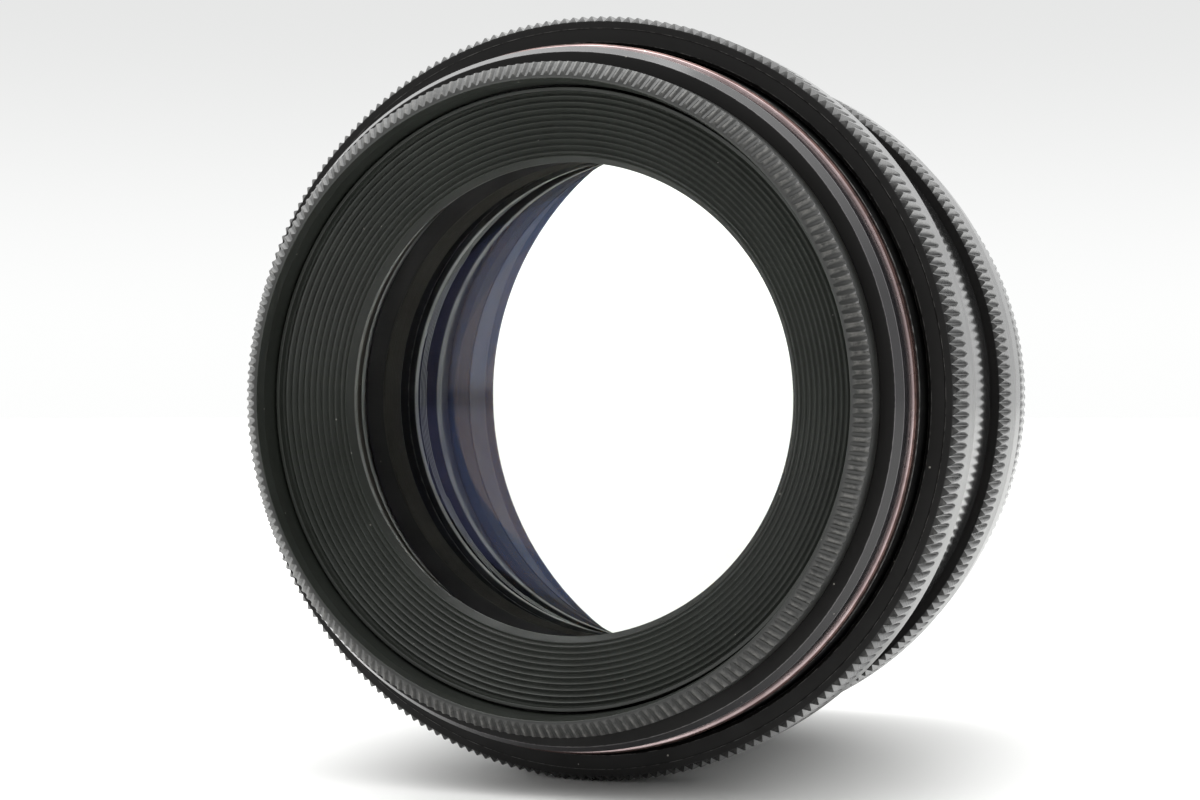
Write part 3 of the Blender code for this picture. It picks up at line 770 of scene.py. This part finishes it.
def rear_retaining_ring():
    """Stepped funnel behind the rear glass, with two spanner slots."""
    outer_r, inner_r = 27.1, 24.7
    rear, front = 69.6, 63.2
    outline = [(26.7, front), (26.7, 66.3), (27.9, 67.5), (27.9, rear, 0.08), (outer_r, rear, 0.08)]
    steps = 9
    for i in range(1, steps):
        share = i / steps
        radius, depth = outer_r + (inner_r - outer_r) * share, rear + (front - rear) * share
        outline += [(radius + 0.12, depth + 0.08, 0.04), (radius + 0.02, depth - 0.16, 0.04)]
    outline += [(inner_r, front, 0.08)]
    ring = revolve("rear_retainer", eased(outline), ROUND, RETAINER)
    for side in (-1.0, 1.0):
        cutter = box_cutter((1.6, 1.6, 6.0))
        cutter.location = (0.0, FRONT + rear * MM, side * 27.4 * MM)
        cut_with(ring, cutter)
    stands_for(ring, "retainer_metal", "rear_retaining_ring")


# ---------------------------------------------------------------- optics

def glass_piece(name, outline, material, *nodes):
    """A polished element. Its ground edge, the cylinder and the flat rim, is painted black.

    The low sharp angle keeps that edge out of the shading of the polished faces.
    """
    piece = revolve(name, outline, GLASS_ROUND, material, closed=False, sharp=9.0)
    piece.data.materials.append(EDGE_PAINT)
    painted = []
    for here, there in zip(outline, outline[1:]):
        straight = here[0] == there[0] or here[1] == there[1]
        painted += [int(straight)] * GLASS_ROUND
    piece.data.polygons.foreach_set("material_index", painted)
    stands_for(piece, "coated_glass", *nodes)


def glass():
    """Each cemented pair is one piece of glass here, because the cement line can't be seen."""
    crown_front = surface(5.3, 57.0, 25.0, 28)
    flint_rear = surface(17.8, 66.0, 22.9, 24)
    outline = crown_front + [(25.0, flint_rear[-1][1])] + flint_rear[::-1]
    glass_piece("front_doublet", outline, CROWN_GLASS, "front_crown_element", "front_flint_element")
    glass_piece("rear_doublet", mirrored(outline), CROWN_GLASS, "rear_crown_element", "rear_flint_element")
    outline = surface(22.3, 66.0, 23.6, 24) + surface(28.3, 130.0, 23.6, 24)[::-1]
    glass_piece("front_meniscus", outline, MENISCUS_GLASS, "front_meniscus_element")
    glass_piece("rear_meniscus", mirrored(outline), MENISCUS_GLASS, "rear_meniscus_element")


def retainers():
    """The two threaded rings that hold the inner elements."""
    outline = [(25.3, 27.6), (25.3, 31.25), (22.9, 31.25), (22.9, 30.95), (23.9, 30.95), (23.9, 27.6)]
    ring = revolve("front_meniscus_ring", eased(outline, 0.05), ROUND, RETAINER)
    stands_for(ring, "retainer_metal", "front_meniscus_retainer")
    ring = revolve("rear_meniscus_ring", eased(mirrored(outline), 0.05), ROUND, RETAINER)
    stands_for(ring, "retainer_metal", "rear_meniscus_retainer")


# ---------------------------------------------------------------- iris

def drive_pin_at(turn):
    """Where the drive pin of the first blade is when the blade has swung by this angle."""
    direction = -math.pi / 2.0 - BLADE_TURN / 2.0 + turn
    return PIVOT_R + DRIVE_ARM * math.cos(direction), DRIVE_ARM * math.sin(direction)


def blade_outline():
    """A crescent with a lobe round its pivot, another round its drive pin, and a round tip."""
    pin_x, pin_y = drive_pin_at(0.0)
    tip_r = (BLADE_OUTER - BLADE_INNER) / 2.0
    middle = (BLADE_OUTER + BLADE_INNER) / 2.0
    tip_x, tip_y = middle * math.cos(BLADE_SWEEP), middle * math.sin(BLADE_SWEEP)
    points = arc(0.0, 0.0, BLADE_OUTER, BLADE_SWEEP, math.radians(5.0), 56)
    points += arc(PIVOT_R, 0.0, 1.4, math.radians(100.0), math.radians(-40.0), 12)
    points += arc(pin_x, pin_y, 1.1, math.radians(10.0), math.radians(-120.0), 12)
    points += arc(0.0, 0.0, BLADE_INNER, math.radians(-6.0), BLADE_SWEEP, 56)
    points += arc(tip_x, tip_y, tip_r, BLADE_SWEEP + math.pi, BLADE_SWEEP, 16)[1:-1]
    return points


def iris_blades():
    """Twelve flat blades, each with a pivot pin behind it and a drive pin in front of it."""
    outline = blade_outline()
    pin_x, pin_y = drive_pin_at(0.0)
    for k in range(BLADES):
        turn = 2.0 * math.pi * k / BLADES
        front = BLADE_FRONT + BLADE_PITCH * k
        shape = bmesh.new()
        prism(shape, outline, front, front + BLADE_THICKNESS, turn)
        blade = object_from(f"iris_leaf_{k + 1:02d}", shape, BLADE)
        for x, y, radius, start, end in (
            (PIVOT_R, 0.0, PIVOT_PIN_R, front + 0.1, 39.2),
            (pin_x, pin_y, DRIVE_PIN_R, 31.9, front + 0.1)):
            shape = bmesh.new()
            prism(shape, arc(x, y, radius, 0.0, 2.0 * math.pi, 20)[:-1], start, end, turn)
            cut_with(blade, object_from("pin", shape, BLADE), "UNION")
        stands_for(blade, "blade_steel", f"iris_blade_{k + 1:02d}")


def slot_outline():
    """The path of a drive pin as the cam ring sees it, widened to a slot with round ends."""
    steps = 16
    path = []
    for i in range(steps + 1):
        turn = BLADE_TURN * (-0.02 + 1.04 * i / steps)
        x, y = drive_pin_at(turn)
        c, s = math.cos(turn * RING_PER_BLADE), math.sin(turn * RING_PER_BLADE)
        path.append((x * c + y * s, y * c - x * s))
    left, right = [], []
    for i, (x, y) in enumerate(path):
        x0, y0 = path[max(i - 1, 0)]
        x1, y1 = path[min(i + 1, steps)]
        length = math.hypot(x1 - x0, y1 - y0)
        across_x, across_y = -(y1 - y0) / length * SLOT_HALF_WIDTH, (x1 - x0) / length * SLOT_HALF_WIDTH
        left.append((x + across_x, y + across_y))
        right.append((x - across_x, y - across_y))
    heading = math.atan2(path[-1][1] - path[-2][1], path[-1][0] - path[-2][0])
    tail = math.atan2(path[1][1] - path[0][1], path[1][0] - path[0][0])
    end_cap = arc(*path[-1], SLOT_HALF_WIDTH, heading + math.pi / 2.0, heading - math.pi / 2.0, 8)[1:-1]
    start_cap = arc(*path[0], SLOT_HALF_WIDTH, tail - math.pi / 2.0, tail - 1.5 * math.pi, 8)[1:-1]
    return left + end_cap + right[::-1] + start_cap


def iris_plates():
    """The turning plate with a cam slot for each blade, and the fixed plate with the pivot holes."""
    outline = [(34.1, 27.8), (34.1, 32.8), (22.4, 32.8, 0.1), (22.4, 31.6, 0.1), (32.6, 31.6), (32.6, 27.8)]
    ring = revolve("iris_cam_plate", eased(outline, 0.06), ROUND, PLATE)
    cutters = bmesh.new()
    for k in range(BLADES):
        prism(cutters, slot_outline(), 31.3, 33.3, 2.0 * math.pi * k / BLADES)
    for angle in SCREW_ANGLES:
        radial_bar(cutters, SCREW_HOLE_R, 31.0, 35.0, angle, SCREW_DEPTH)
    cut_with(ring, object_from("cutters", cutters, PLATE))
    stands_for(ring, "plate_metal", "iris_cam_ring")

    outline = [(34.1, 38.25), (34.1, 39.45), (22.4, 39.45, 0.1), (22.4, 38.25, 0.1)]
    plate = revolve("iris_pivot_plate", eased(outline, 0.06), ROUND, PLATE)
    cutters = bmesh.new()
    for k in range(BLADES):
        hole = arc(PIVOT_R, 0.0, PIVOT_HOLE_R, 0.1, 2.0 * math.pi + 0.1, 20)[:-1]
        prism(cutters, hole, 37.5, 40.2, 2.0 * math.pi * k / BLADES)
    cut_with(plate, object_from("cutters", cutters, PLATE))
    stands_for(plate, "plate_metal", "iris_base_plate")


def drive_screws():
    """Slotted grub screws that join the aperture ring to the cam plate."""
    for k, angle in enumerate(SCREW_ANGLES):
        outward = Vector((math.cos(angle), 0.0, math.sin(angle)))
        shape = bmesh.new()
        radial_bar(shape, SCREW_R, 32.95, 36.40, angle, SCREW_DEPTH, steps=32)
        rims = [edge for edge in shape.edges if edge.calc_face_angle(0.0) > math.radians(60.0)]
        bmesh.ops.bevel(shape, geom=rims, offset=0.12 * MM, segments=2, affect="EDGES", profile=0.5)
        screw = object_from(f"drive_screw_{k + 1}", shape, STEEL)
        cutter = box_cutter((3.0, 0.28, 1.2))
        cutter.rotation_mode = "QUATERNION"
        cutter.rotation_quaternion = outward.to_track_quat("Z", "Y")
        cutter.location = outward * 36.55 * MM + Vector((0.0, FRONT + SCREW_DEPTH * MM, 0.0))
        cut_with(screw, cutter)
        stands_for(screw, "plain_steel", f"iris_drive_screw_{k + 1}")


# ---------------------------------------------------------------- stage, light, camera

def stage():
    """A pale floor that fades out, so that it meets the backdrop without a line."""
    bpy.ops.mesh.primitive_circle_add(vertices=96, radius=4.0, fill_type="NGON")
    floor = bpy.context.object
    floor.name = "floor"
    floor.location = (0.0, 0.0, float(cad_low[2]) - 0.00002)
    n = Nodes("floor_paper")
    n.shader.inputs["Base Color"].default_value = (0.86, 0.86, 0.85, 1.0)
    n.shader.inputs["Roughness"].default_value = 0.45
    n.shader.inputs["IOR"].default_value = 1.35
    split = n.add("ShaderNodeSeparateXYZ")
    n.link(n.position(), split.inputs[0])
    x, y, _ = split.outputs
    distance = n.math("SQRT", n.math("ADD", n.math("MULTIPLY", x, x), n.math("MULTIPLY", y, y)))
    fade = n.ramp(distance, 0.5, 2.4)
    clear = n.add("ShaderNodeBsdfTransparent")
    mix = n.add("ShaderNodeMixShader")
    n.link(fade, mix.inputs[0])
    n.link(n.shader.outputs[0], mix.inputs[1])
    n.link(clear.outputs[0], mix.inputs[2])
    n.link(mix.outputs[0], n.tree.nodes["Material Output"].inputs[0])
    floor.data.materials.append(n.material)


def world():
    """White behind, soft lobes above and in front, dim elsewhere; seen directly, a pale backdrop."""
    made = bpy.data.worlds.new("studio")
    bpy.context.scene.world = made
    made.use_nodes = True
    tree = made.node_tree
    background = tree.nodes["Background"]
    coordinate = tree.nodes.new("ShaderNodeTexCoord")
    split = tree.nodes.new("ShaderNodeSeparateXYZ")
    tree.links.new(coordinate.outputs["Generated"], split.inputs[0])

    def graded(socket, low, high, to_low, to_high):
        node = tree.nodes.new("ShaderNodeMapRange")
        node.interpolation_type = "SMOOTHSTEP"
        tree.links.new(socket, node.inputs[0])
        for i, value in enumerate((low, high, to_low, to_high)):
            node.inputs[i + 1].default_value = value
        return node.outputs[0]

    def towards(direction):
        node = tree.nodes.new("ShaderNodeVectorMath")
        node.operation = "DOT_PRODUCT"
        tree.links.new(coordinate.outputs["Generated"], node.inputs[0])
        node.inputs[1].default_value = Vector(direction).normalized()
        return node.outputs["Value"]

    total = graded(split.outputs[1], -0.6, 0.2, 0.08, 1.15)
    for lobe in (
        graded(towards((0.0, 0.25, 1.0)), 0.35, 0.98, 0.0, 1.3),
        graded(towards((-0.40, -0.80, 0.50)), 0.40, 0.99, 0.0, 0.95)):
        add = tree.nodes.new("ShaderNodeMath")
        tree.links.new(total, add.inputs[0])
        tree.links.new(lobe, add.inputs[1])
        total = add.outputs[0]
    seen = graded(split.outputs[2], 0.02, 0.18, 1.0, 0.80)
    path = tree.nodes.new("ShaderNodeLightPath")
    mix = tree.nodes.new("ShaderNodeMix")
    tree.links.new(path.outputs["Is Camera Ray"], mix.inputs[0])
    tree.links.new(total, mix.inputs[2])
    tree.links.new(seen, mix.inputs[3])
    tree.links.new(mix.outputs[0], background.inputs["Strength"])
    background.inputs["Color"].default_value = (0.99, 0.995, 0.99, 1.0)


def area_light(name, place, target, size, power):
    data = bpy.data.lights.new(name, "AREA")
    data.shape = "RECTANGLE"
    data.size, data.size_y = size
    data.energy = power
    lamp = bpy.data.objects.new(name, data)
    bpy.context.scene.collection.objects.link(lamp)
    lamp.location = place
    lamp.rotation_euler = (Vector(target) - Vector(place)).to_track_quat("-Z", "Y").to_euler()


def camera():
    """The place and the direction come from the perspective fit to the photograph."""
    data = bpy.data.cameras.new("camera")
    data.sensor_width = 36.0
    data.lens = 67.7
    data.clip_start = 0.01
    viewer = bpy.data.objects.new("camera", data)
    bpy.context.scene.collection.objects.link(viewer)
    viewer.location = (0.0861, FRONT - 0.2021, 0.0018)
    viewer.rotation_euler = Vector((-0.3664, 0.9305, -0.0082)).to_track_quat("-Z", "Y").to_euler()
    bpy.context.scene.camera = viewer


def light_paths():
    """Enough bounces for light to get through six elements and back."""
    cycles = bpy.context.scene.cycles
    cycles.max_bounces = 32
    cycles.transmission_bounces = 28
    cycles.glossy_bounces = 8
    cycles.diffuse_bounces = 5
    cycles.transparent_max_bounces = 12


aperture_ring()
mount_grip_ring()
rear_flange_ring()
front_bezel()
ribbed_baffle()
front_cell_housing()
copper_trim_ring()
main_barrel()
rear_cell_housing()
rear_retaining_ring()
glass()
retainers()
iris_blades()
iris_plates()
drive_screws()
for node, material in (("click_ball", STEEL), ("spring_screw", STEEL), ("click_spring", BRASS)):
    frame["nodes"][node].data.materials[0] = material

stage()
world()
area_light("softbox_above", (-0.25, -0.10, 1.10), (0.0, 0.0, 0.0), (1.2, 1.0), 7.0)
camera()
light_paths()
bpy.context.scene.view_settings.view_transform = "Standard"
